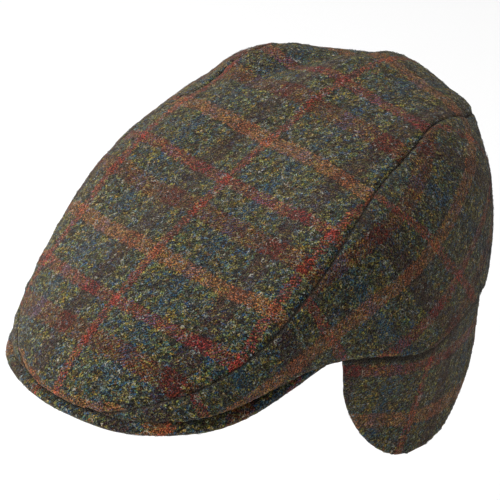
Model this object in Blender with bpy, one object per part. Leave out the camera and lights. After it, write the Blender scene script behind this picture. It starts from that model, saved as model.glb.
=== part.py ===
"""A wool flat cap with its ear flap turned down: top panel, two side panels, peak and flap.

The peak points along -Y, the wearer's left is +X and up is +Z. The origin is the middle of
the head opening, at the height of the crown's lower edge. Sizes below are in millimetres.
"""

import math
from collections import namedtuple

import bmesh
import bpy
import numpy as np

MM = 0.001

# Cloth and clearances
CROWN_CLOTH = 2.2
FLAP_CLOTH = 2.6
GAP = 0.3

# The crown is a fan of spokes round a middle point on top. Each spoke is one smooth curve
# from the lower edge up the wall and over the shoulder to the middle, which slopes up
# towards the back. Angles count from the front.
MIDDLE_Y = 12.5
MIDDLE_Z = 77.5
MIDDLE_SLOPE = 0.323

Spoke = namedtuple("Spoke", "angle edge_out edge_up wall_out wall_up shoulder_out seam_share")
SPOKES = (
    Spoke(0, 148.5, -14.5, 1.0, 19.0, 73.0, 0.07),
    Spoke(25, 137.5, -13.5, -1.0, 25.0, 72.5, 0.14),
    Spoke(50, 105.0, 0.5, 5.0, 52.0, 70.0, 0.29),
    Spoke(75, 95.5, -3.0, 5.5, 71.0, 65.0, 0.55),
    Spoke(100, 91.5, -3.0, 6.5, 85.0, 67.5, 0.61),
    Spoke(125, 89.5, -2.0, 9.0, 89.5, 72.0, 0.60),
    Spoke(150, 88.0, -1.0, 12.0, 75.0, 76.5, 0.43),
    Spoke(180, 87.5, 0.0, 15.0, 75.0, 79.0, 0.42),
)

# The side panels start this far round from the front, and the seam rises over this stretch.
SIDE_START = 10.0
SEAM_RISE = (5.0, 20.0)

# Soft folds of the top: straight runs in plan, raised where the height is positive. They
# fade out over this share of the wall above the lower edge.
FOLD_FADE = 0.33
Fold = namedtuple("Fold", "start_x start_y end_x end_y half_width height")
FOLDS = (
    Fold(-80, 32, -60, 12, 8, -1.8),
    Fold(-21, 73, -38, 24, 8, -3.2),
    Fold(-66, 28, -46, 46, 10, 1.5),
    Fold(-10, 80, 6, 62, 9, 1.5),
    Fold(16, 86, 30, 76, 8, -1.5),
    Fold(47, 50, 44, 76, 6, -2.0),
)

# The peak is a stiff crescent round a point between its two ends.
PEAK_END_Y = -39.5
PEAK_TIP_Y = -138.0
PEAK_HALF_WIDTH = 78.0
PEAK_SQUARENESS = 2.5
PEAK_TIP_DROP = 19.2
PEAK_ARCH = 6.2
PEAK_THICKNESS = 4.4
BROW_Y = -95.0
BROW_HALF_WIDTH = 71.0

# The flap hangs from just inside the crown's edge, from one temple round to the other.
FLAP_START = 59.3
FLAP_TUCK = 12.0
EAR_DEPTH = 59.5
NAPE_DEPTH = 24.0
EAR_BACK_Y = 19.0
NAPE_Y = 100.0
CORNER_LENGTH = 38.0
CORNER_ROUNDNESS = 2.0
FLAP_LEAN = 2.5
CORNER_CROWDING = 0.75

# Cloth colours and finish
TOP_COLOUR = (0.075, 0.06, 0.04)
SIDE_COLOUR = (0.065, 0.05, 0.035)
PEAK_COLOUR = (0.06, 0.045, 0.03)
FLAP_COLOUR = (0.055, 0.045, 0.03)
CLOTH_ROUGHNESS = 0.95
SHARP_ANGLE = 50.0

# Small steps along a spoke and round the crown, for slopes
SHARE_STEP = 1e-3
ANGLE_STEP = 0.1

# How finely each piece is divided
CROWN_COLUMNS = 72
TOP_ROWS = 13
SIDE_ROWS = 7
PEAK_COLUMNS = 44
PEAK_ROWS = 4
FLAP_COLUMNS = 48
FLAP_ROWS = 7


def clear_scene():
    for obj in list(bpy.data.objects):
        bpy.data.objects.remove(obj, do_unlink=True)


def smooth_step(value):
    """0 below 0, 1 above 1 and a smooth rise between."""
    value = min(max(value, 0.0), 1.0)
    return value * value * (3 - 2 * value)


def even_wave(rows, name):
    """Cosine weights of the smooth curve through one column, alike on both sides of the cap."""
    angles = np.radians([row.angle for row in rows])
    orders = np.arange(len(rows))
    return np.linalg.solve(np.cos(np.outer(angles, orders)), [getattr(row, name) for row in rows])


WAVES = {name: even_wave(SPOKES, name) for name in Spoke._fields[1:]}


def at_angle(name, angle):
    """A column of the spoke table at any angle in degrees."""
    weights = WAVES[name]
    return float(weights @ np.cos(math.radians(angle) * np.arange(len(weights))))


def peak_reach(across, along, squareness, angle):
    """Distance from the peak's centre to a rounded outline, at an angle from the wearer's left."""
    x = abs(math.cos(angle)) / across
    y = abs(math.sin(angle)) / along
    return (x**squareness + y**squareness) ** (-1 / squareness)


def peak_radii(angle):
    """Inner and outer distance of the peak from its centre, at an angle in radians."""
    inner = peak_reach(BROW_HALF_WIDTH, PEAK_END_Y - BROW_Y, 2.0, angle)
    outer = peak_reach(PEAK_HALF_WIDTH, PEAK_END_Y - PEAK_TIP_Y, PEAK_SQUARENESS, angle)
    return inner, outer


def peak_middle(angle, share):
    """A point of the peak's middle surface: share 0 at the brow, 1 at the outer edge."""
    inner, outer = peak_radii(angle)
    reach = inner + share * (outer - inner)
    forward = outer * math.sin(angle) / (PEAK_END_Y - PEAK_TIP_Y)
    drop = PEAK_TIP_DROP * forward + PEAK_ARCH * math.sin(math.pi * forward)
    return np.array([reach * math.cos(angle), PEAK_END_Y - reach * math.sin(angle), -share * drop])


def peak_top(x, y):
    """Height of the peak's upper face under a point of the crown, or None beside the peak."""
    if y > PEAK_END_Y:
        return None
    angle = math.atan2(PEAK_END_Y - y, x)
    inner, outer = peak_radii(angle)
    reach = math.hypot(x, PEAK_END_Y - y)
    if not inner < reach < outer + CROWN_CLOTH:
        return None
    share = min((reach - inner) / (outer - inner), 1.0)
    return peak_middle(angle, share)[2] + PEAK_THICKNESS / 2


def spoke_point(angle, share):
    """The crown's smooth surface: share 0 at the lower edge, 1 at the middle of the top."""
    turn = math.radians(angle)
    edge_out = at_angle("edge_out", angle)
    edge_up = at_angle("edge_up", angle)
    shoulder_out = at_angle("shoulder_out", angle)
    shoulder_up = MIDDLE_Z - MIDDLE_SLOPE * shoulder_out * math.cos(turn)
    handles = np.array([
        (edge_out, edge_up),
        (edge_out + at_angle("wall_out", angle), edge_up + at_angle("wall_up", angle)),
        (shoulder_out, shoulder_up),
        (0.0, MIDDLE_Z),
    ])
    rest = 1 - share
    weights = np.array([rest**3, 3 * share * rest**2, 3 * share**2 * rest, share**3])
    out, up = weights @ handles
    return np.array([out * math.sin(turn), MIDDLE_Y - out * math.cos(turn), up])


def smooth_normal(angle, share):
    """Outward direction of the crown's smooth surface."""
    if share > 1 - SHARE_STEP:
        normal = np.array([0.0, -MIDDLE_SLOPE, 1.0])
    else:
        upward = spoke_point(angle, share + SHARE_STEP) - spoke_point(angle, share)
        sideways = spoke_point(angle + ANGLE_STEP, share) - spoke_point(angle - ANGLE_STEP, share)
        normal = np.cross(sideways, upward)
    return normal / np.linalg.norm(normal)


def fold_height(x, y):
    """How far the folds raise or sink the top at a place in plan."""
    height = 0.0
    for fold in FOLDS:
        start = np.array([fold.start_x, fold.start_y])
        run = np.array([fold.end_x, fold.end_y]) - start
        place = np.array([x, y]) - start
        along = min(max(place @ run / (run @ run), 0.0), 1.0)
        away = np.linalg.norm(place - along * run) / fold.half_width
        height += fold.height * math.exp(-away * away)
    return height


def crown_point(angle, share, depth=0.0):
    """A point of the folded crown, depth below its outer face and clear of the peak."""
    point = spoke_point(angle, share)
    raised = fold_height(point[0], point[1]) * smooth_step(share / FOLD_FADE)
    point = point + smooth_normal(angle, share) * (raised - depth)
    under = peak_top(point[0], point[1])
    if under is not None:
        point[2] = max(point[2], under + GAP)
    return point


def seam_share(angle):
    """Where the side seam crosses a spoke."""
    away = abs((angle + 180) % 360 - 180)
    start, end = SEAM_RISE
    return at_angle("seam_share", away) * smooth_step((away - start) / (end - start))


def beside_seam(angle, distance):
    """The share that lies a distance above the seam, or below it where negative."""
    share = seam_share(angle)
    climb = spoke_point(angle, share + SHARE_STEP) - spoke_point(angle, share)
    pace = np.linalg.norm(climb) / SHARE_STEP
    return max(share + distance / pace, 0.0)


def crown_ring(angle, low, high, rows):
    """A closed ring of points: up the outer face from low to high and back down the inner."""
    shares = np.linspace(low, high, rows + 1)
    outer = [crown_point(angle, share) for share in shares]
    inner = [crown_point(angle, share, CROWN_CLOTH) for share in shares[::-1]]
    return outer + inner


def vertices_of(mesh, ring, known):
    """The mesh's vertices at a ring's points, made once each."""
    found = []
    for point in ring:
        key = tuple(np.round(point, 5))
        if key not in known:
            known[key] = mesh.verts.new(point * MM)
        found.append(known[key])
    return found


def add_face(mesh, corners):
    """A face on the corners that differ, if they are enough for one."""
    corners = list(dict.fromkeys(corners))
    if len(corners) > 2:
        mesh.faces.new(corners)


def loft(name, rings, material, closed=False):
    """A solid swept through rings of equal count, joined end to start or capped at both ends."""
    mesh = bmesh.new()
    known = {}
    loops = [vertices_of(mesh, ring, known) for ring in rings]
    count = len(loops[0])
    pairs = list(zip(loops, loops[1:] + loops[:1])) if closed else list(zip(loops, loops[1:]))
    for first, second in pairs:
        for k in range(count):
            n = (k + 1) % count
            add_face(mesh, (first[k], second[k], second[n], first[n]))
    if not closed:
        for loop in (loops[0], loops[-1]):
            for k in range(count // 2 - 1):
                add_face(mesh, (loop[k], loop[k + 1], loop[-k - 2], loop[-k - 1]))
    bmesh.ops.recalc_face_normals(mesh, faces=mesh.faces)
    data = bpy.data.meshes.new(name)
    mesh.to_mesh(data)
    mesh.free()
    data.shade_smooth()
    data.set_sharp_from_angle(angle=math.radians(SHARP_ANGLE))
    data.materials.append(material)
    obj = bpy.data.objects.new(name, data)
    bpy.context.scene.collection.objects.link(obj)
    return obj


def cloth_material(name, colour):
    material = bpy.data.materials.new(name)
    material.use_nodes = True
    shader = material.node_tree.nodes["Principled BSDF"]
    shader.inputs["Base Color"].default_value = (*colour, 1.0)
    shader.inputs["Roughness"].default_value = CLOTH_ROUGHNESS
    shader.inputs["Metallic"].default_value = 0.0
    return material


def build_top_panel():
    step = 360 / CROWN_COLUMNS
    rings = [
        crown_ring(angle, beside_seam(angle, GAP / 2), 1.0, TOP_ROWS)
        for angle in np.arange(CROWN_COLUMNS) * step
    ]
    loft("top_panel", rings, cloth_material("top_tweed", TOP_COLOUR), closed=True)


def build_side_panel(name, side):
    """One side panel: side is 1 for the wearer's left and -1 for the right."""
    back_gap = math.degrees(GAP / 2 / at_angle("edge_out", 180))
    step = 360 / CROWN_COLUMNS
    angles = list(np.arange(SIDE_START, 180, step)) + [180 - back_gap]
    rings = [
        crown_ring(side * angle, 0.0, beside_seam(side * angle, -GAP / 2), SIDE_ROWS)
        for angle in angles
    ]
    loft(name, rings, cloth_material(name + "_tweed", SIDE_COLOUR))


def peak_ring(angle):
    """One section of the peak: along the top, round the edge and back along the underside."""
    half = PEAK_THICKNESS / 2
    inner, outer = peak_radii(angle)
    last = 1 - half / (outer - inner)
    shares = np.linspace(0, last, PEAK_ROWS + 1)
    up = np.array([0.0, 0.0, half])
    outward = np.array([math.cos(angle), -math.sin(angle), 0.0]) * half
    top = [peak_middle(angle, share) + up for share in shares]
    under = [peak_middle(angle, share) - up for share in shares[::-1]]
    edge = peak_middle(angle, last)
    nose = [
        edge + up * math.cos(turn) + outward * math.sin(turn)
        for turn in (math.pi / 4, math.pi / 2, math.pi / 2, 3 * math.pi / 4)
    ]
    return top + nose + under


def build_peak():
    rings = [peak_ring(angle) for angle in np.linspace(0, math.pi, PEAK_COLUMNS + 1)]
    loft("peak", rings, cloth_material("peak_tweed", PEAK_COLOUR))


def flap_depth(angle):
    """How far the flap hangs below the crown's edge."""
    edge_out = at_angle("edge_out", angle)
    y = MIDDLE_Y - edge_out * math.cos(math.radians(angle))
    backward = smooth_step((y - EAR_BACK_Y) / (NAPE_Y - EAR_BACK_Y))
    full = EAR_DEPTH + (NAPE_DEPTH - EAR_DEPTH) * backward
    from_corner = math.radians(min(angle, 360 - angle) - FLAP_START) * edge_out
    corner = 1 - min(max(from_corner / CORNER_LENGTH, 0.0), 1.0)
    return full * (1 - corner**CORNER_ROUNDNESS) ** (1 / CORNER_ROUNDNESS)


def flap_point(angle, share, depth_in):
    """A point of the flap: share 0 at its tucked upper edge, 1 at its lower edge."""
    turn = math.radians(angle)
    drop = -FLAP_TUCK + share * (flap_depth(angle) + FLAP_TUCK)
    lean = FLAP_LEAN * smooth_step(drop / EAR_DEPTH)
    out = at_angle("edge_out", angle) - CROWN_CLOTH - 2 * GAP - lean - depth_in
    return np.array([out * math.sin(turn), MIDDLE_Y - out * math.cos(turn), -drop])


def build_ear_flap():
    rings = []
    for way in np.linspace(0, 1, FLAP_COLUMNS + 1):
        crowded = way - CORNER_CROWDING * math.sin(2 * math.pi * way) / (2 * math.pi)
        angle = FLAP_START + (360 - 2 * FLAP_START) * crowded
        shares = np.linspace(0, 1, FLAP_ROWS + 1)
        outer = [flap_point(angle, share, 0.0) for share in shares]
        inner = [flap_point(angle, share, FLAP_CLOTH) for share in shares[::-1]]
        rings.append(outer + inner)
    loft("ear_flap", rings, cloth_material("flap_tweed", FLAP_COLOUR))


def main():
    clear_scene()
    build_top_panel()
    build_side_panel("side_panel_left", 1)
    build_side_panel("side_panel_right", -1)
    build_peak()
    build_ear_flap()


main()
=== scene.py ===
"""The finished look of a wool tweed flat cap with its ear flap turned down.

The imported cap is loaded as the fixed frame. Each cloth piece is a finely divided copy of its
solid, relaxed and rolled in at its seams like sewn cloth, with a woven check that follows its
own grain and loose wool fibres that lie on it. Sizes are in metres, and the peak points at -Y.
"""

from __future__ import annotations

import logging
import math
from dataclasses import dataclass
from enum import Enum
from typing import Any, Sequence, Union

import bpy
import numpy as np
from mathutils import Matrix, Vector
from mathutils.bvhtree import BVHTree


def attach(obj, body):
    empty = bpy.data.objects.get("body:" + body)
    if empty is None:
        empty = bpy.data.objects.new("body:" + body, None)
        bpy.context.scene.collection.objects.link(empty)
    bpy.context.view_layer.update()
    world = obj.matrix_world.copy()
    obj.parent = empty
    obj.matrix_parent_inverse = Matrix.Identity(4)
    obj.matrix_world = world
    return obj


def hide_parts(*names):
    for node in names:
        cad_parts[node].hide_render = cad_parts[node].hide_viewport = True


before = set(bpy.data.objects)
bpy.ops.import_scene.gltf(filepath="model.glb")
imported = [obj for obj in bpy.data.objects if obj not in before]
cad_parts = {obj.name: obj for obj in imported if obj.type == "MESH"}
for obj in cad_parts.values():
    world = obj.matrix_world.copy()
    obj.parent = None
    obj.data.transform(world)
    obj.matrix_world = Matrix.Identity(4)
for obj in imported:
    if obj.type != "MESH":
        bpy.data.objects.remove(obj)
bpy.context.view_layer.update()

MM = 0.001
BODY = "root"
GRAIN_MAP = "grain"
# Distance to a seam or an overhanging edge, stored for the cloth's material to paint shade by.
EDGE_SHADE_MAP = "from_shading_edge"
FAR = 20 * MM
TOUCHING = 0.001 * MM
JOIN_DISTANCE = 0.01 * MM
CROWN_MIDDLE = np.array([0.0, 0.0125, 0.020])
UNDER_CROWN = np.array([0.0, 0.0125, -0.050])
LOG = logging.getLogger("flat_cap")

Colour = tuple[float, float, float]
Number = Union["Wire", float]


class Held(str, Enum):
    """Ways in which a piece of cloth is held."""

    STRETCHED = "stretched"
    HUNG = "hung"


class Dye(Enum):
    """Linear colours of the yarns that make the check."""

    RED = (0.280, 0.039, 0.028)
    ORANGE = (0.385, 0.126, 0.039)
    RUST = (0.168, 0.032, 0.009)
    MAROON = (0.036, 0.006, 0.015)
    NAVY = (0.005, 0.062, 0.125)


@dataclass(frozen=True)
class Stripe:
    """One coloured stripe of the check.

    Attributes:
        place: Distance of its middle from the start of the repeat.
        half_width: Half its width.
        dye: The colour of its yarn.
        strength: Share of its yarns that are dyed.
    """

    place: float
    half_width: float
    dye: Dye
    strength: float = 1.0


class Wire:
    """An output socket of a shader graph that takes part in arithmetic."""

    def __init__(self, graph: Graph, socket: bpy.types.NodeSocket) -> None:
        """Keeps the graph and the socket."""
        self.graph = graph
        self.socket = socket

    def __add__(self, other: Number) -> Wire:
        """This plus a number or wire."""
        return self.graph.maths("ADD", self, other)

    def __radd__(self, other: Number) -> Wire:
        """A number plus this."""
        return self.graph.maths("ADD", other, self)

    def __sub__(self, other: Number) -> Wire:
        """This less a number or wire."""
        return self.graph.maths("SUBTRACT", self, other)

    def __rsub__(self, other: Number) -> Wire:
        """A number less this."""
        return self.graph.maths("SUBTRACT", other, self)

    def __mul__(self, other: Number) -> Wire:
        """This times a number or wire."""
        return self.graph.maths("MULTIPLY", self, other)

    def __truediv__(self, other: Number) -> Wire:
        """This over a number or wire."""
        return self.graph.maths("DIVIDE", self, other)

    def __mod__(self, other: Number) -> Wire:
        """What is left of this past whole steps of a number."""
        return self.graph.maths("FLOORED_MODULO", self, other)

    def __abs__(self) -> Wire:
        """This without its sign."""
        return self.graph.maths("ABSOLUTE", self)

    def floor(self) -> Wire:
        """The whole number at or below this."""
        return self.graph.maths("FLOOR", self)

    def below(self, limit: float) -> Wire:
        """1 where this is less than a limit, else 0."""
        return self.graph.maths("LESS_THAN", self, limit)

    def arch(self) -> Wire:
        """0 at 0 and 1, and 1 half way between them."""
        return self.graph.maths("SINE", self * math.pi)

    def eased(self, low: float, high: float) -> Wire:
        """A smooth rise from 0 at one value to 1 at another."""
        made = self.graph.node(
            "ShaderNodeMapRange",
            {"interpolation_type": "SMOOTHSTEP"},
            {"Value": self, "From Min": low, "From Max": high},
        )
        return self.graph.wire(made, "Result")


def weighted(weights: Sequence[float], *sources: Wire) -> Wire:
    """The first weight, plus each other weight times its source."""
    total = sources[0] * weights[1] + weights[0]
    for source, weight in zip(sources[1:], weights[2:]):
        total = total + source * weight
    return total


class Graph:
    """Adds nodes to one material and joins them."""

    def __init__(self, material: bpy.types.Material) -> None:
        """Clears the material's nodes."""
        material.use_nodes = True
        self.tree = material.node_tree
        self.tree.nodes.clear()

    @staticmethod
    def socket(sockets: Sequence[bpy.types.NodeSocket], name: str) -> bpy.types.NodeSocket:
        """Finds a socket by its identifier, or else by its name."""
        exact = [socket for socket in sockets if socket.identifier == name]
        return (exact or [socket for socket in sockets if socket.name == name])[0]

    def node(
        self, kind: str, settings: dict[str, Any] | None = None, inputs: dict[str, Any] | None = None
    ) -> bpy.types.Node:
        """Adds a node.

        Args:
            kind: The node's type.
            settings: Its properties, with a ramp's stops as (place, colour) pairs.
            inputs: Values or wires for its inputs.

        Returns:
            The new node.
        """
        made = self.tree.nodes.new(kind)
        for name, value in (settings or {}).items():
            if name == "stops":
                self.set_stops(made.color_ramp, value)
            else:
                setattr(made, name, value)
        for name, value in (inputs or {}).items():
            self.feed(self.socket(made.inputs, name), value)
        return made

    def feed(self, socket: bpy.types.NodeSocket, value: Any) -> None:
        """Links a wire to an input, or else gives the input its value."""
        if isinstance(value, Wire):
            self.tree.links.new(value.socket, socket)
        else:
            socket.default_value = value

    @staticmethod
    def set_stops(ramp: bpy.types.ColorRamp, stops: Sequence[tuple[float, Colour]]) -> None:
        """Gives a ramp its stops.

        Args:
            ramp: The ramp, with its first two stops.
            stops: Places from 0 to 1 and the plain colour that starts at each.
        """
        ramp.interpolation = "CONSTANT"
        while len(ramp.elements) < len(stops):
            ramp.elements.new(0.5)
        for element, (place, colour) in zip(ramp.elements, stops):
            element.position = place
            element.color = (*colour, 1.0)

    def wire(self, node: bpy.types.Node, output: str) -> Wire:
        """One output of a node as a wire."""
        return Wire(self, self.socket(node.outputs, output))

    def surface(self, inputs: dict[str, Any]) -> None:
        """Gives the material one shader, with values or wires for its inputs."""
        shader = self.node("ShaderNodeBsdfPrincipled", {}, inputs)
        self.node("ShaderNodeOutputMaterial", {}, {"Surface": self.wire(shader, "BSDF")})

    def maths(self, operation: str, *values: Number) -> Wire:
        """Adds a Math node.

        Args:
            operation: Its operation.
            values: Its inputs in order.

        Returns:
            Its result.
        """
        made = self.node("ShaderNodeMath", {"operation": operation})
        for socket, value in zip(made.inputs, values):
            self.feed(socket, value)
        return self.wire(made, "Value")

    def mixed(self, share: Number, first: Any, second: Any, blend: str = "MIX") -> Wire:
        """Adds a colour Mix node.

        Args:
            share: How much of the second colour there is.
            first: A colour or wire.
            second: A colour or wire.
            blend: How they mix.

        Returns:
            The mixed colour.
        """
        made = self.node(
            "ShaderNodeMix",
            {"data_type": "RGBA", "blend_type": blend},
            {"Factor_Float": share, "A_Color": self.rgba(first), "B_Color": self.rgba(second)},
        )
        return self.wire(made, "Result_Color")

    @staticmethod
    def rgba(colour: Any) -> Any:
        """A plain colour with its alpha, or the wire as it is."""
        return colour if isinstance(colour, Wire) else (*colour, 1.0)

    def times(self, first: Any, second: Any) -> Wire:
        """One colour multiplied by another."""
        return self.mixed(1.0, first, second, "MULTIPLY")

    def shaded(self, colour: Any, light: Wire) -> Wire:
        """A colour multiplied by how light it is."""
        return self.times(colour, self.vector(light, light, light))

    def vector(self, x: Number, y: Number, z: Number) -> Wire:
        """Three values as one vector."""
        return self.wire(self.node("ShaderNodeCombineXYZ", {}, {"X": x, "Y": y, "Z": z}), "Vector")

    def scaled(self, place: Wire, size: float) -> Wire:
        """A place measured in steps of a size."""
        inputs = {"Vector": place, "Scale": 1 / size}
        return self.wire(self.node("ShaderNodeVectorMath", {"operation": "SCALE"}, inputs), "Vector")

    def noise(self, place: Wire, detail: float = 1.0, roughness: float = 0.5) -> Wire:
        """Smooth noise at a place, one blob to each unit, from 0 to 1 and mostly near a half."""
        inputs = {"Vector": place, "Scale": 1.0, "Detail": detail, "Roughness": roughness}
        return self.wire(self.node("ShaderNodeTexNoise", {"noise_dimensions": "3D"}, inputs), "Fac")

    def blots(
        self, place: Wire, size: float, edge: float, detail: float = 1.0, roughness: float = 0.5
    ) -> Wire:
        """Soft blots of a size, 0 where the noise is below a half by the edge and 1 above it by that."""
        return self.noise(self.scaled(place, size), detail, roughness).eased(0.5 - edge, 0.5 + edge)

    def cells(self, place: Wire) -> Wire:
        """An even random number for each cell of about one unit, from 0 to 1."""
        made = self.node("ShaderNodeTexVoronoi", {}, {"Vector": place, "Scale": 1.0})
        split = self.node("ShaderNodeSeparateXYZ", {}, {"Vector": self.wire(made, "Color")})
        return self.wire(split, "X")


@dataclass(frozen=True)
class Weave:
    """Two-and-two twill from dyed and heathered yarns.

    Attributes:
        pitch: Distance from yarn to yarn.
        warp_repeat: Length of the check's repeat across the cloth.
        weft_repeat: Length of the check's repeat along the cloth.
        warp: Stripes of the lengthwise yarns.
        weft: Stripes of the crosswise yarns.
        bleed: How far a stripe's edge thins out to each side.
    """

    pitch: float
    warp_repeat: float
    weft_repeat: float
    warp: tuple[Stripe, ...]
    weft: tuple[Stripe, ...]
    bleed: float

    def dyed_share(self, warp: bool, place: Wire) -> list[tuple[Dye, Wire]]:
        """How many of the yarns at a place are dyed, for each stripe of one set.

        Args:
            warp: Whether these are the lengthwise yarns.
            place: Distance across the yarns.

        Returns:
            Each stripe's dye and its share, from 0 to 1.
        """
        repeat, stripes = (self.warp_repeat, self.warp) if warp else (self.weft_repeat, self.weft)
        shares = []
        for stripe in stripes:
            away = abs((place - stripe.place + repeat / 2) % repeat - repeat / 2)
            blur = min(self.bleed, stripe.half_width / 2)
            inside = 1 - away.eased(stripe.half_width - blur, stripe.half_width + blur)
            shares.append((stripe.dye, inside * stripe.strength))
        return shares

    def striped(self, ground: Wire, warp: bool, place: Wire, vary: Wire, chance: Wire, shade: Wire) -> Wire:
        """Dyes one set of yarns.

        Args:
            ground: Colour of the undyed yarn.
            warp: Whether these are the lengthwise yarns.
            place: Distance across the yarns.
            vary: How well the dye took, about 1.
            chance: An even random number for each float of yarn.
            shade: How light each float is, about 1.

        Returns:
            The yarns' colour.
        """
        graph = ground.graph
        colour = ground
        for dye, share in self.dyed_share(warp, place):
            dyed = graph.shaded(dye.value, shade)
            colour = graph.mixed(graph.maths("LESS_THAN", chance, share * vary), colour, dyed)
        return colour


CHECK = Weave(
    pitch=0.47 * MM,
    warp_repeat=67.3 * MM,
    weft_repeat=77.5 * MM,
    warp=(
        Stripe(0.0 * MM, 2.5 * MM, Dye.RED, 0.8),
        Stripe(22.6 * MM, 3.6 * MM, Dye.NAVY, 0.6),
        Stripe(48.3 * MM, 5.4 * MM, Dye.MAROON, 1.1),
    ),
    weft=(
        Stripe(0.0 * MM, 2.9 * MM, Dye.RED, 1.1),
        Stripe(28.8 * MM, 3.9 * MM, Dye.ORANGE, 1.1),
        Stripe(57.6 * MM, 4.8 * MM, Dye.RUST, 1.1),
    ),
    bleed=1.6 * MM,
)


@dataclass(frozen=True)
class LooseHairs:
    """Long curled hairs of one colour that lie flat on the cloth.

    Attributes:
        colour: Their linear colour.
        curl: About how wide their curls are.
        breadth: How broad they are, as a share of the noise that they follow.
        gate: How high a second noise must be where they lie, from 0.5 for half of the cloth.
        offset: Where the noise is read, so that each colour lies elsewhere.
    """

    colour: Colour
    curl: float
    breadth: float
    gate: float
    offset: float

    PATCH = 1.1
    GATE_BLUR = 0.04

    def lies(self, graph: Graph, place: Wire) -> Wire:
        """Where the hairs lie, as level lines of a smooth noise in scattered patches.

        Args:
            graph: The material's graph.
            place: Where the cloth is.

        Returns:
            1 on a hair and 0 beside it.
        """
        moved = graph.node(
            "ShaderNodeVectorMath",
            {"operation": "MULTIPLY_ADD"},
            {"Vector": place, "Vector_001": (1 / self.curl,) * 3, "Vector_002": (self.offset,) * 3},
        )
        spot = graph.wire(moved, "Vector")
        wander = graph.noise(spot)
        patches = graph.noise(graph.scaled(spot, self.PATCH), 0.0)
        near = 1 - abs(wander - 0.5).eased(self.breadth / 2, self.breadth)
        return near * patches.eased(self.gate, self.gate + self.GATE_BLUR)


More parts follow.
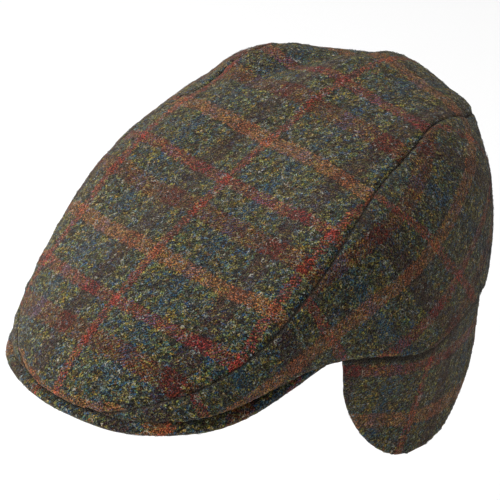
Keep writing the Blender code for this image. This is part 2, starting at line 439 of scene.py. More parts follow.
@dataclass(frozen=True)
class Tweed:
    """The finish of the cap's cloth: woven check, coloured flecks and a brushed nap.

    Attributes:
        weave: The check's yarns.
        flecks: Colours of the fibres blended into the ground yarn, with the place of each.
        loose: Long hairs that lie on the cloth.
        hair: Size of the finest light and dark of the brushed nap.
        tuft: Width of its tufts of one colour.
        clump: Size of its flecks.
        patch: Size of the ground's patches of warmer and cooler fibres.
        warm_cool: What the ground's colours are multiplied by in its warm and cool patches.
        blush: Size of the ground's redder and greener patches.
        red_green: What the ground's colours are multiplied by in them.
        drift: Size of the slow changes of shade.
        cover: Size of the patches where the nap hides the stripes.
        painted_shade_reach: How far from a seam or an overhanging edge the painted shade starts to thin
            out, and where it ends.
        painted_shade_depth: How light the painted shade leaves the cloth in a seam's groove or under an
            overhanging edge, where 1 is as light as elsewhere.
        combing: How far the tufts are drawn out, where 1 is not at all.
        lay: Direction they are drawn out in, from the crosswise yarns.
        relief: Depth of the yarns and the nap.

    In each tuple of weights below, the first is the least value and each other is what one
    source adds.
    """

    weave: Weave
    flecks: tuple[tuple[float, Colour], ...]
    loose: tuple[LooseHairs, ...]
    hair: float = 0.62 * MM
    tuft: float = 1.15 * MM
    clump: float = 1.3 * MM
    patch: float = 4.5 * MM
    warm_cool: tuple[Colour, Colour] = ((1.16, 1.03, 0.70), (0.74, 0.95, 1.34))
    blush: float = 2.8 * MM
    red_green: tuple[Colour, Colour] = ((1.14, 0.95, 0.94), (0.86, 1.06, 1.06))
    drift: float = 7.0 * MM
    cover: float = 1.3 * MM
    painted_shade_reach: tuple[float, float] = (0.6 * MM, 1.6 * MM)
    painted_shade_depth: float = 0.03
    combing: float = 0.62
    lay: float = math.radians(62)
    relief: float = 0.70 * MM

    FLECK_ROLL = 0.1
    YARN_SHADE = (0.15, 0.9, 0.8)
    DYE_TAKEN = (0.66, 0.40, 0.28)
    COVER_ROLL = 0.25
    FELTED = (0.36, 0.2)
    HAIR_LIGHT = (0.12, 0.27, 1.70)
    OVER_LIGHT = (0.77, 0.26)
    LOOSE_COVER = 0.85
    HEIGHTS = (0.0, 0.5, 0.45, 0.45, 0.3)

    def material(self) -> bpy.types.Material:
        """Builds the material, which reads the piece's own grain map.

        Returns:
            The material.
        """
        made = bpy.data.materials.new("brushed_tweed")
        graph = Graph(made)
        grain = graph.node("ShaderNodeUVMap", {"uv_map": GRAIN_MAP})
        split = graph.node("ShaderNodeSeparateXYZ", {}, {"Vector": graph.wire(grain, "UV")})
        across, along = graph.wire(split, "X"), graph.wire(split, "Y")
        colour, height = self.woven(graph, across, along)
        bump = graph.node(
            "ShaderNodeBump", {}, {"Height": height, "Distance": self.relief, "Strength": 0.9}
        )
        graph.surface(
            {
                "Base Color": colour,
                "Roughness": 0.95,
                "Specular IOR Level": 0.12,
                "Sheen Weight": 0.24,
                "Sheen Roughness": 0.36,
                "Sheen Tint": (1.0, 0.78, 0.60, 1.0),
                "Normal": graph.wire(bump, "Normal"),
            }
        )
        return made

    def woven(self, graph: Graph, across: Wire, along: Wire) -> tuple[Wire, Wire]:
        """Works out the cloth's colour and height.

        Args:
            graph: The material's graph.
            across: Distance across the lengthwise yarns.
            along: Distance along them.

        Returns:
            The colour and the height from 0 to 1.
        """
        pitch = self.weave.pitch
        warp_place, weft_place = across / pitch, along / pitch
        warp_number, weft_number = warp_place.floor(), weft_place.floor()
        step = weft_number - warp_number
        over = ((step + 1) % 4).below(1.5)
        under = 1 - over
        yarn = warp_number * over + weft_number * under
        turn = ((step + over) / 4).floor()
        chance = graph.node(
            "ShaderNodeTexWhiteNoise",
            {"noise_dimensions": "3D"},
            {"Vector": graph.vector(yarn, turn, over)},
        )
        rolls = graph.node("ShaderNodeSeparateXYZ", {}, {"Vector": graph.wire(chance, "Color")})
        roll, second_roll, third_roll = (graph.wire(rolls, axis) for axis in "XYZ")
        place = graph.wire(graph.node("ShaderNodeTexCoord"), "Object")
        rise = graph.wire(graph.node("ShaderNodeSeparateXYZ", {}, {"Vector": place}), "Z")
        drawn = across * math.cos(self.lay) + along * math.sin(self.lay)
        beside = along * math.cos(self.lay) - across * math.sin(self.lay)
        combed = graph.vector(drawn * self.combing, beside, rise)
        clumps = graph.blots(place, self.clump, edge=0.22, detail=2.0, roughness=0.6)
        drift = graph.blots(place, self.drift, edge=0.22)
        fuzz = graph.blots(place, self.hair, edge=0.20)
        ground = self.ground(graph, place, combed, roll)
        shade = weighted(self.YARN_SHADE, second_roll, clumps)
        vary = weighted(self.DYE_TAKEN, drift, clumps)
        weave = self.weave
        hidden = graph.blots(combed, self.cover, edge=0.24)
        cover = hidden * (1 - self.COVER_ROLL) + third_roll * self.COVER_ROLL
        warp = weave.striped(ground, True, (warp_number + 0.5) * pitch, vary, cover, shade)
        weft = weave.striped(ground, False, (weft_number + 0.5) * pitch, vary, cover, shade)
        cloth = graph.mixed(over, weft, warp)
        felted = graph.mixed(weighted(self.FELTED, fuzz), cloth, graph.mixed(0.5, weft, warp))
        # The floats between the twill's ribs are darkened as painted shade; the nap's light and dark hairs
        # vary at random.
        light = weighted(self.HAIR_LIGHT, fuzz, fuzz * fuzz) * weighted(self.OVER_LIGHT, over)
        colour = graph.shaded(felted, light)
        for hairs in self.loose:
            lies = hairs.lies(graph, place)
            colour = graph.mixed(lies * self.LOOSE_COVER, colour, hairs.colour)

        warp_round = (warp_place % 1).arch() * (((weft_place - warp_number + 1) % 4) / 2).arch()
        weft_round = (weft_place % 1).arch() * (((weft_number - warp_place) % 4) / 2).arch()
        yarns = warp_round * over + weft_round * under
        height = weighted(self.HEIGHTS, yarns, clumps, fuzz, drift)
        # Painted shade: the colour is darkened in the seams' grooves and under overhanging edges, by the
        # stored distance.
        fold = graph.wire(graph.node("ShaderNodeAttribute", {"attribute_name": EDGE_SHADE_MAP}), "Fac")
        painted_shade_factor = fold.eased(*self.painted_shade_reach) * (1 - self.painted_shade_depth) + self.painted_shade_depth
        return graph.shaded(colour, painted_shade_factor), height

    def ground(self, graph: Graph, place: Wire, combed: Wire, roll: Wire) -> Wire:
        """Colours the undyed yarns with flecks, and tints them by patches.

        Args:
            graph: The material's graph.
            place: Where the cloth is.
            combed: The same drawn out the way the nap is brushed.
            roll: An even random number for each float of yarn.

        Returns:
            The ground's colour.
        """
        tufts = graph.cells(graph.scaled(combed, self.tuft))
        blend = tufts * (1 - self.FLECK_ROLL) + roll * self.FLECK_ROLL
        ramp = {"stops": self.flecks}
        flecked = graph.wire(graph.node("ShaderNodeValToRGB", ramp, {"Fac": blend}), "Color")
        warmth = graph.mixed(graph.blots(combed, self.patch, edge=0.16), *self.warm_cool)
        redness = graph.mixed(graph.blots(place, self.blush, edge=0.16), *self.red_green)
        return graph.times(flecked, graph.times(warmth, redness))


TWEED = Tweed(
    weave=CHECK,
    flecks=(
        (0.00, (0.012, 0.012, 0.012)),
        (0.14, (0.060, 0.034, 0.019)),
        (0.20, (0.041, 0.052, 0.023)),
        (0.32, (0.142, 0.124, 0.029)),
        (0.43, (0.028, 0.078, 0.127)),
        (0.53, (0.150, 0.072, 0.031)),
        (0.58, (0.050, 0.098, 0.075)),
        (0.67, (0.258, 0.207, 0.042)),
        (0.75, (0.275, 0.262, 0.205)),
        (0.78, (0.118, 0.108, 0.066)),
        (0.84, (0.015, 0.020, 0.029)),
        (0.92, (0.098, 0.084, 0.026)),
    ),
    loose=(
        LooseHairs((0.330, 0.280, 0.080), 2.6 * MM, 0.020, 0.60, 3.1),
        LooseHairs((0.130, 0.230, 0.280), 2.3 * MM, 0.018, 0.61, 17.4),
        LooseHairs((0.420, 0.410, 0.350), 3.0 * MM, 0.016, 0.64, 41.9),
        LooseHairs((0.010, 0.010, 0.011), 2.0 * MM, 0.035, 0.56, 63.2),
    ),
)


@dataclass(frozen=True)
class Unevenness:
    """Soft rises and dips, as a sum of waves in many directions.

    Attributes:
        height: About how far they rise and dip.
        length: About how long each wave is.
        seed: Which set of waves it is.
        waves: How many waves are summed.
    """

    height: float
    length: float
    seed: int
    waves: int = 12

    def at(self, points: np.ndarray) -> np.ndarray:
        """The height at each point.

        Args:
            points: Places, one row each.

        Returns:
            One height for each row.
        """
        chance = np.random.default_rng(self.seed)
        runs = chance.normal(size=(self.waves, 3))
        runs /= np.linalg.norm(runs, axis=1)[:, None]
        counts = 2 * math.pi / (self.length * chance.uniform(0.7, 1.5, self.waves))
        starts = chance.uniform(0, 2 * math.pi, self.waves)
        total = np.sin(points @ (runs * counts[:, None]).T + starts).sum(axis=1)
        return self.height * total / math.sqrt(self.waves / 2)


@dataclass(frozen=True)
class Fold:
    """A soft fold or fullness of the cloth along a straight run.

    Attributes:
        start: Where it starts.
        end: Where it ends.
        half_width: Half its width.
        height: How far it rises, or sinks where negative.
    """

    start: tuple[float, float, float]
    end: tuple[float, float, float]
    half_width: float
    height: float

    def at(self, points: np.ndarray) -> np.ndarray:
        """How far it raises each point.

        Args:
            points: Places, one row each.

        Returns:
            One height for each row.
        """
        start = np.array(self.start)
        run = np.array(self.end) - start
        place = points - start
        along = np.clip(place @ run / (run @ run), 0, 1)
        away = np.linalg.norm(place - along[:, None] * run, axis=1) / self.half_width
        return self.height * np.exp(-(away**2))


CROWN_FOLDS = (
    Fold((-0.010, 0.056, 0.085), (-0.006, 0.022, 0.080), 11 * MM, 2.2 * MM),
    Fold((0.036, 0.080, 0.073), (0.050, 0.050, 0.079), 11 * MM, 2.6 * MM),
    Fold((0.078, -0.060, 0.022), (0.083, 0.000, 0.052), 20 * MM, 2.4 * MM),
)


def select_only(piece: bpy.types.Object) -> None:
    """Makes one object the only selected one and the active one."""
    bpy.ops.object.select_all(action="DESELECT")
    piece.select_set(True)
    bpy.context.view_layer.objects.active = piece


def apply_modifier(piece: bpy.types.Object, kind: str, **settings: Any) -> None:
    """Adds a modifier to a piece and applies it.

    Args:
        piece: The piece, already the active object.
        kind: The modifier's type.
        settings: Its properties.
    """
    modifier = piece.modifiers.new(kind.lower(), kind)
    for name, value in settings.items():
        setattr(modifier, name, value)
    bpy.ops.object.modifier_apply(modifier=modifier.name)


def points_of(mesh: bpy.types.Mesh) -> np.ndarray:
    """The mesh's vertices, one row each."""
    flat = np.empty(len(mesh.vertices) * 3)
    mesh.vertices.foreach_get("co", flat)
    return flat.reshape(-1, 3)


def surface_of(node: str) -> BVHTree:
    """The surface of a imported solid, for finding its nearest points.

    Args:
        node: The solid's name.

    Returns:
        The surface.
    """
    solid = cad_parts[node].data
    triangles = [tuple(face.vertices) for face in solid.polygons]
    return BVHTree.FromPolygons([vertex.co for vertex in solid.vertices], triangles)


def outward_from_crown(points: np.ndarray) -> np.ndarray:
    """Directions from under the crown to each point, of length 1."""
    away = points - UNDER_CROWN
    return away / np.linalg.norm(away, axis=1)[:, None]


@dataclass
class ClothPiece:
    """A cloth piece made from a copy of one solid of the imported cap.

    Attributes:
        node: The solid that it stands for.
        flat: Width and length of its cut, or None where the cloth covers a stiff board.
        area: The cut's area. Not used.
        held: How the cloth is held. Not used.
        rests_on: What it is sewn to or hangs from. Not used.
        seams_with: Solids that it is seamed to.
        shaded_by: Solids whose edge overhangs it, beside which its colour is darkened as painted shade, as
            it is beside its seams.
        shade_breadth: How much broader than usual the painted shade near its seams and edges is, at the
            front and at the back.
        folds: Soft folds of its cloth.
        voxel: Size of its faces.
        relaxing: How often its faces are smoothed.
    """

    node: str
    flat: tuple[float, float] | None = None
    area: float | None = None
    held: Held | None = None
    rests_on: tuple[str, ...] = ()
    seams_with: tuple[str, ...] = ()
    shaded_by: tuple[str, ...] = ()
    shade_breadth: tuple[float, float] = (1.0, 1.0)
    folds: tuple[Fold, ...] = ()
    voxel: float = 1.08 * MM
    relaxing: int = 3

    SWAY = tuple(Unevenness(0.28 * MM, 42 * MM, seed) for seed in (3, 4, 5))
    PUCKER = Unevenness(0.22 * MM, 9 * MM, 8)
    NAP = Unevenness(0.07 * MM, 5 * MM, 9)
    SEAM_DIP = 0.95 * MM
    SEAM_DIP_REACH = 1.2 * MM
    SEAM_DRAW = 0.75 * MM
    SEAM_DRAW_REACH = 1.8 * MM
    SEAM_ROLL = 0.30 * MM
    SEAM_ROLL_AWAY = 3.4 * MM
    SEAM_ROLL_WIDTH = 2.0 * MM
    BREADTH_PLACES = (-40.0 * MM, 60.0 * MM)
    PUCKER_REACH = 7.0 * MM

    def build(self, material: bpy.types.Material) -> bpy.types.Object:
        """Makes the piece, dresses it and tells the frame about it.

        Args:
            material: The cloth's finish.

        Returns:
            The finished piece.
        """
        piece = self.copy_of_solid()
        apply_modifier(piece, "REMESH", mode="VOXEL", voxel_size=self.voxel)
        apply_modifier(piece, "SMOOTH", factor=0.5, iterations=self.relaxing)
        self.lay(piece.data)
        bpy.ops.object.shade_smooth()
        self.map_grain(piece.data)
        piece.data.materials.clear()
        piece.data.materials.append(material)
        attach(piece, BODY)
        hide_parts(self.node)
        LOG.info("%s: %d faces", piece.name, len(piece.data.polygons))
        return piece

    def copy_of_solid(self) -> bpy.types.Object:
        """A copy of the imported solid, with its loose triangles joined.

        Returns:
            The copy, selected and active.
        """
        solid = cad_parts[self.node]
        piece = bpy.data.objects.new(self.node + "_cloth", solid.data.copy())
        bpy.context.scene.collection.objects.link(piece)
        select_only(piece)
        bpy.ops.object.mode_set(mode="EDIT")
        bpy.ops.mesh.select_all(action="SELECT")
        bpy.ops.mesh.remove_doubles(threshold=JOIN_DISTANCE)
        bpy.ops.mesh.normals_make_consistent(inside=False)
        bpy.ops.object.mode_set(mode="OBJECT")
        return piece

    @staticmethod
    def to_pieces(points: np.ndarray, names: Sequence[str]) -> tuple[np.ndarray, np.ndarray]:
        """How far each point is from the nearest of some solids, and which way.

        Args:
            points: Places, one row each.
            names: The solids.

        Returns:
            One distance for each row, and the direction to the nearest solid.
        """
        nearest = np.full(len(points), FAR)
        ways = np.zeros((len(points), 3))
        for name in names:
            tree = surface_of(name)
            for index, point in enumerate(points):
                place, _, _, away = tree.find_nearest(Vector(point), FAR)
                if place is not None and away < nearest[index]:
                    nearest[index] = away
                    ways[index] = (np.array(place) - point) / max(away, TOUCHING)
        return nearest, ways

    def lay(self, mesh: bpy.types.Mesh) -> None:
        """Raises the cloth's folds and nap, draws it together at its seams and maps where painted shade
        falls near its seams and under overhanging edges.

        Args:
            mesh: The piece's mesh.
        """
        points = points_of(mesh)
        outward = outward_from_crown(points)
        # The material paints shade into the colour near the seamed and overhanging solids, by this
        # distance.
        breadth = np.interp(points[:, 1], self.BREADTH_PLACES, self.shade_breadth)
        from_shading_edge = self.to_pieces(points, self.seams_with + self.shaded_by)[0] / breadth
        mesh.attributes.new(EDGE_SHADE_MAP, "FLOAT", "POINT").data.foreach_set("value", from_shading_edge)
        raised = self.NAP.at(points) + sum(fold.at(points) for fold in self.folds)
        moved = np.stack([waves.at(points) for waves in self.SWAY], axis=1)
        if self.seams_with:
            away, ways = self.to_pieces(points, self.seams_with)
            dip = np.exp(-((away / self.SEAM_DIP_REACH) ** 2))
            roll = np.exp(-(((away - self.SEAM_ROLL_AWAY) / self.SEAM_ROLL_WIDTH) ** 2))
            pucker = self.PUCKER.at(points) * np.exp(-((away / self.PUCKER_REACH) ** 2))
            raised = raised + pucker + self.SEAM_ROLL * roll - self.SEAM_DIP * dip
            drawn = self.SEAM_DRAW * np.exp(-((away / self.SEAM_DRAW_REACH) ** 2))
            moved = moved + ways * drawn[:, None]
        mesh.vertices.foreach_set("co", (points + outward * raised[:, None] + moved).ravel())
        mesh.update()

    def grain(self, points: np.ndarray) -> tuple[np.ndarray, np.ndarray]:
        """Distances across and along the lengthwise yarns, from a crossing of red stripes."""
        return points[:, 0], points[:, 1]

    def map_grain(self, mesh: bpy.types.Mesh) -> None:
        """Writes the grain to the piece's own map.

        Args:
            mesh: The piece's mesh.
        """
        across, along = self.grain(points_of(mesh))
        corners = np.empty(len(mesh.loops), np.int64)
        mesh.loops.foreach_get("vertex_index", corners)
        places = np.stack([across, along], axis=1)[corners]
        while mesh.uv_layers:
            mesh.uv_layers.remove(mesh.uv_layers[0])
        mesh.uv_layers.new(name=GRAIN_MAP).data.foreach_set("uv", places.ravel())

    def declare(self, piece: bpy.types.Object, fibres: Sequence[bpy.types.Object]) -> None:
        """Does nothing with the piece or the fibres on it."""


@dataclass
class TopPanel(ClothPiece):
    """The large panel over the top, cut with its grain from front to back."""

    RED_ACROSS = 0.7 * MM
    RED_ALONG = 35.0 * MM
    FAR_SIDE_FULLNESS = 0.13
    BOW = 17.0 * MM
    BOW_WIDTH = 68.0 * MM
    BOW_START = 60.0 * MM
    BOW_FADE = 33.0 * MM
    FRONT_START = -100.0 * MM
    FRONT_FADE = 20.0 * MM
    FRONT_SHOULDER = -2.0 * MM
    MIDDLE_TURNS = (math.radians(-8), math.radians(165))
    MIDDLE_STEPS = 90
    OUTSIDE = 300.0 * MM

    def grain(self, points: np.ndarray) -> tuple[np.ndarray, np.ndarray]:
        """The cloth runs over the middle of the crown and bows where it is drawn to the peak.

        Args:
            points: Places on the piece, one row each.

        Returns:
            Distances across and along the lengthwise yarns.
        """
        places, lengths = self.middle_line()
        path = np.interp(points[:, 1], places, lengths)
        x = points[:, 0]
        front = np.clip((self.FRONT_START - points[:, 1]) / self.FRONT_FADE, 0, 1)
        path = path - front * np.maximum(self.FRONT_SHOULDER - points[:, 2], 0)
        bow = self.BOW * np.exp(-np.maximum(path - self.BOW_START, 0) / self.BOW_FADE)
        across = x - self.FAR_SIDE_FULLNESS * np.maximum(-x, 0) - self.RED_ACROSS
        return across, path - bow * (x / self.BOW_WIDTH) ** 2 - self.RED_ALONG

    def middle_line(self) -> tuple[np.ndarray, np.ndarray]:
        """The line over the middle of the crown, from the front to the back.

        Returns:
            Its places along Y and its length up to each.
        """
        tree = surface_of(self.node)
        points = []
        for turn in np.linspace(*self.MIDDLE_TURNS, self.MIDDLE_STEPS):
            inward = Vector((0.0, math.cos(turn), -math.sin(turn)))
            start = Vector(CROWN_MIDDLE) - inward * self.OUTSIDE
            points.append(tree.ray_cast(start, inward)[0])
        line = np.array([point for point in points if point is not None])
        lengths = np.concatenate([[0.0], np.cumsum(np.linalg.norm(np.diff(line, axis=0), axis=1))])
        return line[:, 1], lengths


@dataclass
class RoundPiece(ClothPiece):
    """A cloth piece that goes round the head, with its grain set out along the crown's edge."""

    EDGE_TURNS = tuple(math.radians(turn) for turn in (0, 25, 50, 75, 100, 125, 150, 180))
    EDGE_STEPS = 361
    EDGE_RADII = (148.5 * MM, 137.5 * MM, 105 * MM, 95.5 * MM, 91.5 * MM, 89.5 * MM, 88 * MM, 87.5 * MM)

    def edge_radius(self, turns: np.ndarray) -> np.ndarray:
        """Distance of the crown's lower edge from its middle, at angles from the front."""
        orders = np.arange(len(self.EDGE_TURNS))
        weights = np.linalg.solve(np.cos(np.outer(self.EDGE_TURNS, orders)), self.EDGE_RADII)
        return np.cos(np.outer(turns, orders)) @ weights

    @staticmethod
    def turn_of(points: np.ndarray) -> np.ndarray:
        """Angle of each point from the front, alike on both sides of the cap."""
        return np.arctan2(np.abs(points[:, 0]), CROWN_MIDDLE[1] - points[:, 1])

    def round_edge(self, points: np.ndarray) -> np.ndarray:
        """Distance round the crown's lower edge from the side of the head towards the back.

        Args:
            points: Places, one row each.

        Returns:
            One distance for each row, alike on both sides of the cap.
        """
        turns = np.linspace(0, math.pi, self.EDGE_STEPS)
        radii = self.edge_radius(turns)
        edge = np.stack([radii * np.sin(turns), -radii * np.cos(turns)], axis=1)
        lengths = np.concatenate([[0.0], np.cumsum(np.linalg.norm(np.diff(edge, axis=0), axis=1))])
        return np.interp(self.turn_of(points), turns, lengths) - np.interp(math.pi / 2, turns, lengths)

    def inside_edge(self, points: np.ndarray) -> np.ndarray:
        """How far each point stands inside the crown's lower edge, seen from above."""
        out = np.hypot(points[:, 0], points[:, 1] - CROWN_MIDDLE[1])
        return np.maximum(self.edge_radius(self.turn_of(points)) - out, 0)


@dataclass
class SidePanel(RoundPiece):
    """A side panel, cut with its crosswise yarns along the seam."""

    TILT = math.radians(28)
    SHOULDER = 0.8
    RED_ACROSS = 23.1 * MM
    RED_ALONG = 13.3 * MM
    LEAN_START = 25.0 * MM
    LEAN = 0.25

    def grain(self, points: np.ndarray) -> tuple[np.ndarray, np.ndarray]:
        """The cloth is turned so that its grain runs with the seam.

        Args:
            points: Places on the piece, one row each.

        Returns:
            Distances across and along the lengthwise yarns.
        """
        way = self.round_edge(points)
        height = points[:, 2] + self.SHOULDER * self.inside_edge(points)
        along_seam = math.cos(self.TILT) * way + math.sin(self.TILT) * height
        up = math.cos(self.TILT) * height - math.sin(self.TILT) * way
        lean = self.LEAN * np.maximum(self.LEAN_START - up, 0)
        return along_seam - self.RED_ACROSS - lean, up - self.RED_ALONG


@dataclass
class EarFlap(RoundPiece):
    """The band that hangs over the ears and nape."""

    HALF_ROUND = 137.0 * MM
    RED_AT_NAPE = -25.5 * MM
    RED_RISE = 10.5 * MM
    LEAN = 0.425
    LEAN_FROM = -12.0 * MM
    ALONG_FULLNESS = 1.06

    def grain(self, points: np.ndarray) -> tuple[np.ndarray, np.ndarray]:
        """The crosswise yarns go round the head, a little lower at the nape.

        Args:
            points: Places on the piece, one row each.

        Returns:
            Distances across and along the lengthwise yarns.
        """
        from_nape = (self.HALF_ROUND - self.round_edge(points)) * np.sign(points[:, 0])
        share = from_nape / self.HALF_ROUND
        red = self.RED_AT_NAPE + self.RED_RISE * share**2
        lean = self.LEAN * (points[:, 2] - self.LEAN_FROM) * np.clip(share, -1, 1)
        return from_nape + lean - self.HALF_ROUND, (red - points[:, 2]) * self.ALONG_FULLNESS


@dataclass
class Peak(ClothPiece):
    """The stiff peak in its cloth cover."""

    RED_ACROSS = 54.0 * MM
    RED_ALONG = -132.6 * MM

    def grain(self, points: np.ndarray) -> tuple[np.ndarray, np.ndarray]:
        """The grain runs from front to back."""
        return points[:, 0] - self.RED_ACROSS, points[:, 1] - points[:, 2] - self.RED_ALONG


@dataclass(frozen=True)
class Fibre:
    """The finish of one sort of loose wool fibre.

    Attributes:
        name: What the fibre is.
        colour: Its linear colour.
        share: How common it is.
    """

    name: str
    colour: Colour
    share: float

    def material(self) -> bpy.types.Material:
        """Builds the fibre's material.

        Returns:
            The material.
        """
        made = bpy.data.materials.new("fibre_" + self.name)
        Graph(made).surface(
            {
                "Base Color": (*self.colour, 1.0),
                "Roughness": 0.7,
                "Specular IOR Level": 0.3,
                "Sheen Weight": 0.3,
            }
        )
        return made


FIBRES = (
    Fibre("dark", (0.020, 0.021, 0.020), 0.12),
    Fibre("olive", (0.320, 0.280, 0.080), 0.34),
    Fibre("blue", (0.070, 0.150, 0.200), 0.16),
    Fibre("rust", (0.260, 0.080, 0.035), 0.12),
    Fibre("cream", (0.460, 0.440, 0.350), 0.26),
)


@dataclass
class Nap:
    """Curled wool fibres that lie on a cloth piece.

    Attributes:
        count: How many there are.
        seed: Which set of places and curls it is.
        length: Shortest and longest fibre.
        radius: Thinnest and thickest half width.
        tip: How thick a fibre's tip is, as a share of its root.
        lift: Most that a fibre rises off the cloth.
        curl: Most that a fibre turns over its length, in turns.
        steps: How many straight steps each fibre has.
    """

    count: int
    seed: int
    length: tuple[float, float] = (1.6 * MM, 8.0 * MM)
    radius: tuple[float, float] = (0.040 * MM, 0.125 * MM)
    tip: float = 0.45
    lift: float = 0.35 * MM
    curl: float = 0.9
    steps: int = 5

    FACING_OUT = -0.15
    WAVER = 0.35
    ARCHES = (0.5, 1.0)
    LIFTS = (0.1, 1.0)

    def build(self, piece: bpy.types.Object, materials: Sequence[bpy.types.Material]) -> bpy.types.Object:
        """Grows the fibres on a piece's outer face.

        Args:
            piece: The cloth piece.
            materials: One material for each sort of fibre.

        Returns:
            The fibres as one piece.
        """
        chance = np.random.default_rng(self.seed)
        starts, normals = self.roots(piece.data, chance)
        paths = self.laid(piece, self.curls(starts, normals, chance), chance)
        sorts = chance.choice(len(FIBRES), self.count, p=[fibre.share for fibre in FIBRES])
        radii = chance.uniform(*self.radius, self.count)
        data = bpy.data.curves.new(piece.name + "_fibres", "CURVE")
        data.dimensions = "3D"
        data.bevel_depth = 1.0
        data.bevel_resolution = 0
        data.use_fill_caps = True
        taper = np.linspace(1.0, self.tip, self.steps + 1)
        for path, sort, radius in zip(paths, sorts, radii):
            spline = data.splines.new("POLY")
            spline.points.add(self.steps)
            spline.points.foreach_set("co", np.c_[path, np.ones(len(path))].ravel())
            spline.points.foreach_set("radius", radius * taper)
            spline.material_index = int(sort)
        for material in materials:
            data.materials.append(material)
        fibres = bpy.data.objects.new(piece.name + "_fibres", data)
        bpy.context.scene.collection.objects.link(fibres)
        select_only(fibres)
        bpy.ops.object.convert(target="MESH")
        fibres = bpy.context.view_layer.objects.active
        bpy.ops.object.shade_smooth()
        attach(fibres, BODY)
        LOG.info("%s: %d fibres, %d faces", fibres.name, self.count, len(fibres.data.polygons))
        return fibres

    def roots(self, mesh: bpy.types.Mesh, chance: np.random.Generator) -> tuple[np.ndarray, np.ndarray]:
        """Picks places spread evenly over the outer face.

        Args:
            mesh: The cloth piece's mesh.
            chance: The source of random numbers.

        Returns:
            The places and the face's direction at each.
        """
        faces = len(mesh.polygons)
        centres, normals, areas = np.empty(faces * 3), np.empty(faces * 3), np.empty(faces)
        mesh.polygons.foreach_get("center", centres)
        mesh.polygons.foreach_get("normal", normals)
        mesh.polygons.foreach_get("area", areas)
        centres, normals = centres.reshape(-1, 3), normals.reshape(-1, 3)
        facing = (normals * outward_from_crown(centres)).sum(axis=1) > self.FACING_OUT
        weights = areas * facing
        picked = chance.choice(faces, self.count, p=weights / weights.sum())
        return centres[picked], normals[picked]

    def curls(self, starts: np.ndarray, normals: np.ndarray, chance: np.random.Generator) -> np.ndarray:
        """Shapes each fibre as a flat curl beside the cloth.

        Args:
            starts: Where the fibres begin.
            normals: The cloth's direction there.
            chance: The source of random numbers.

        Returns:
            The fibres' points, by fibre, step and axis.
        """
        count, steps = len(starts), self.steps
        first = np.cross(normals, chance.normal(size=(count, 3)))
        first /= np.linalg.norm(first, axis=1)[:, None]
        second = np.cross(normals, first)
        low, high = self.length
        lengths = low + (high - low) * chance.uniform(size=count) ** 2
        turns = 2 * math.pi * self.curl * chance.uniform(-1, 1, count)
        shares = np.linspace(0, 1, steps + 1)
        angles = turns[:, None] * shares[:-1] + chance.normal(scale=self.WAVER, size=(count, steps))
        strides = np.stack([np.cos(angles), np.sin(angles)]) * (lengths[:, None] / steps)
        east, north = np.pad(np.cumsum(strides, axis=2), ((0, 0), (0, 0), (1, 0)))[..., None]
        return starts[:, None] + east * first[:, None] + north * second[:, None]

    def laid(self, piece: bpy.types.Object, paths: np.ndarray, chance: np.random.Generator) -> np.ndarray:
        """Lays the fibres on the cloth, each lifted a little between its ends.

        Args:
            piece: The cloth piece.
            paths: The fibres' points, by fibre, step and axis.
            chance: The source of random numbers.

        Returns:
            The fibres' points on the cloth.
        """
        tree = BVHTree.FromObject(piece, bpy.context.evaluated_depsgraph_get())
        shares = np.linspace(0, 1, self.steps + 1)
        arches = np.sin(math.pi * np.outer(chance.uniform(*self.ARCHES, len(paths)), shares))
        lifts = self.lift * chance.uniform(*self.LIFTS, len(paths))[:, None] * arches
        for path, rises in zip(paths, lifts):
            for index, rise in enumerate(rises):
                place, normal, _, _ = tree.find_nearest(Vector(path[index]))
                path[index] = place + normal * float(rise)
        return paths


@dataclass(frozen=True)
class Softbox:
    """A large soft square light that faces the cap.

    Attributes:
        name: What the light is for.
        place: Where it stands.
        size: Its width and height.
        power: Its power in watts.
    """

    name: str
    place: tuple[float, float, float]
    size: float
    power: float

    def add(self) -> None:
        """Adds the light to the scene."""
        bpy.ops.object.light_add(type="AREA", location=self.place)
        light = bpy.context.active_object
        light.name = self.name
        light.data.size = self.size
        light.data.energy = self.power
        light.rotation_euler = (-Vector(self.place)).to_track_quat("-Z", "Y").to_euler()


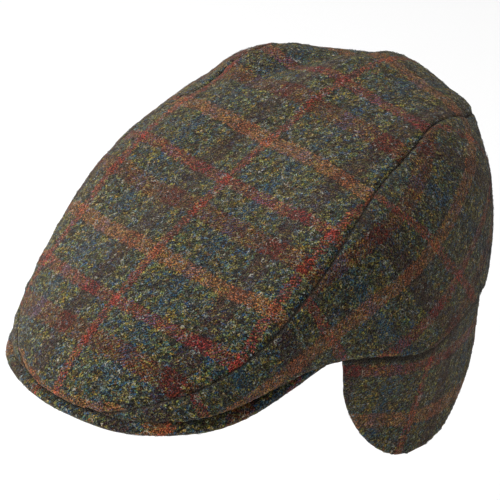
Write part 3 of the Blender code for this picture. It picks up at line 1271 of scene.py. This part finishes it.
@dataclass
class Studio:
    """The floor, the lights and the camera, with the camera's angles in degrees."""

    azimuth: float = 46.93
    elevation: float = 28.33
    roll: float = 0.602
    target: tuple[float, float, float] = (1.1 * MM, -17.9 * MM, 17.9 * MM)
    distance: float = 2.1879
    lens: float = 341.25
    clip: tuple[float, float] = (0.05, 30.0)
    floor_height: float = -0.26
    floor_size: float = 60.0
    room_light: float = 0.40
    softboxes: tuple[Softbox, ...] = (
        Softbox("key", (-0.75, -1.32, 0.22), 1.4, 31.0),
        Softbox("top", (-0.60, 0.20, 1.52), 1.5, 20.0),
    )

    def build(self) -> None:
        """Makes the floor, the lights and the camera."""
        scene = bpy.context.scene
        scene.view_settings.view_transform = "Standard"
        self.lay_floor()
        self.light_room()
        for softbox in self.softboxes:
            softbox.add()
        self.set_camera()

    def lay_floor(self) -> None:
        """Lays a plain pale floor."""
        bpy.ops.mesh.primitive_plane_add(size=self.floor_size, location=(0, 0, self.floor_height))
        floor = bpy.context.active_object
        floor.name = "floor"
        material = bpy.data.materials.new("pale_floor")
        Graph(material).surface(
            {"Base Color": (0.97, 0.97, 0.97, 1.0), "Roughness": 0.9, "Specular IOR Level": 0.1}
        )
        floor.data.materials.append(material)

    def light_room(self) -> None:
        """Fills the room with even pale light."""
        world = bpy.data.worlds.new("room")
        world.use_nodes = True
        inputs = world.node_tree.nodes["Background"].inputs
        inputs["Color"].default_value = (1.0, 1.0, 1.0, 1.0)
        inputs["Strength"].default_value = self.room_light
        bpy.context.scene.world = world

    def set_camera(self) -> None:
        """Stands the camera where the photograph was taken from."""
        a, e, roll = (math.radians(value) for value in (self.azimuth, self.elevation, self.roll))
        back = Vector((math.sin(a) * math.cos(e), -math.cos(a) * math.cos(e), math.sin(e)))
        level = Vector((math.cos(a), math.sin(a), 0.0))
        upward = back.cross(level)
        right = level * math.cos(roll) + upward * math.sin(roll)
        up = upward * math.cos(roll) - level * math.sin(roll)
        bpy.ops.object.camera_add()
        camera = bpy.context.active_object
        turn = Matrix((right, up, back)).transposed().to_4x4()
        camera.matrix_world = Matrix.Translation(Vector(self.target) + back * self.distance) @ turn
        camera.data.lens = self.lens
        camera.data.clip_start, camera.data.clip_end = self.clip
        bpy.context.scene.camera = camera


SIDE_PIECES = ("side_panel_left", "side_panel_right")
SIDE_CLOTHS = tuple(name + "_cloth" for name in SIDE_PIECES)
SIDE_CUT = ((0.10, 0.30), 0.0175, Held.STRETCHED, ("ear_flap_cloth",))

TOP = TopPanel(
    "top_panel", (0.19, 0.27), 0.0330, Held.STRETCHED, ("peak_cloth",), SIDE_PIECES, folds=CROWN_FOLDS
)
LEFT = SidePanel(SIDE_PIECES[0], *SIDE_CUT, ("top_panel", SIDE_PIECES[1]), folds=CROWN_FOLDS)
RIGHT = SidePanel(SIDE_PIECES[1], *SIDE_CUT, ("top_panel", SIDE_PIECES[0]))
# The crown's edge casts painted shade on the peak and on the ear flap.
PEAK = Peak("peak", shaded_by=("top_panel",))
FLAP = EarFlap(
    "ear_flap", (0.08, 0.42), 0.0202, Held.HUNG, SIDE_CLOTHS, shaded_by=SIDE_PIECES, shade_breadth=(2.6, 6.5)
)

PIECES: tuple[tuple[ClothPiece, Nap], ...] = (
    (TOP, Nap(4200, 21)),
    (LEFT, Nap(2800, 22, (2.0 * MM, 10.0 * MM))),
    (RIGHT, Nap(1200, 23)),
    (PEAK, Nap(900, 24)),
    (FLAP, Nap(2800, 25)),
)


def main() -> None:
    """Builds the cap and its studio."""
    logging.basicConfig(level=logging.INFO, format="%(message)s")
    tweed = TWEED.material()
    wools = [fibre.material() for fibre in FIBRES]
    made = [(cloth, nap, cloth.build(tweed)) for cloth, nap in PIECES]
    for cloth, nap, piece in made:
        fibres = [nap.build(piece, wools)]
        if cloth.flat is not None:
            cloth.declare(piece, fibres)
    Studio().build()


if __name__ == "__main__":
    main()
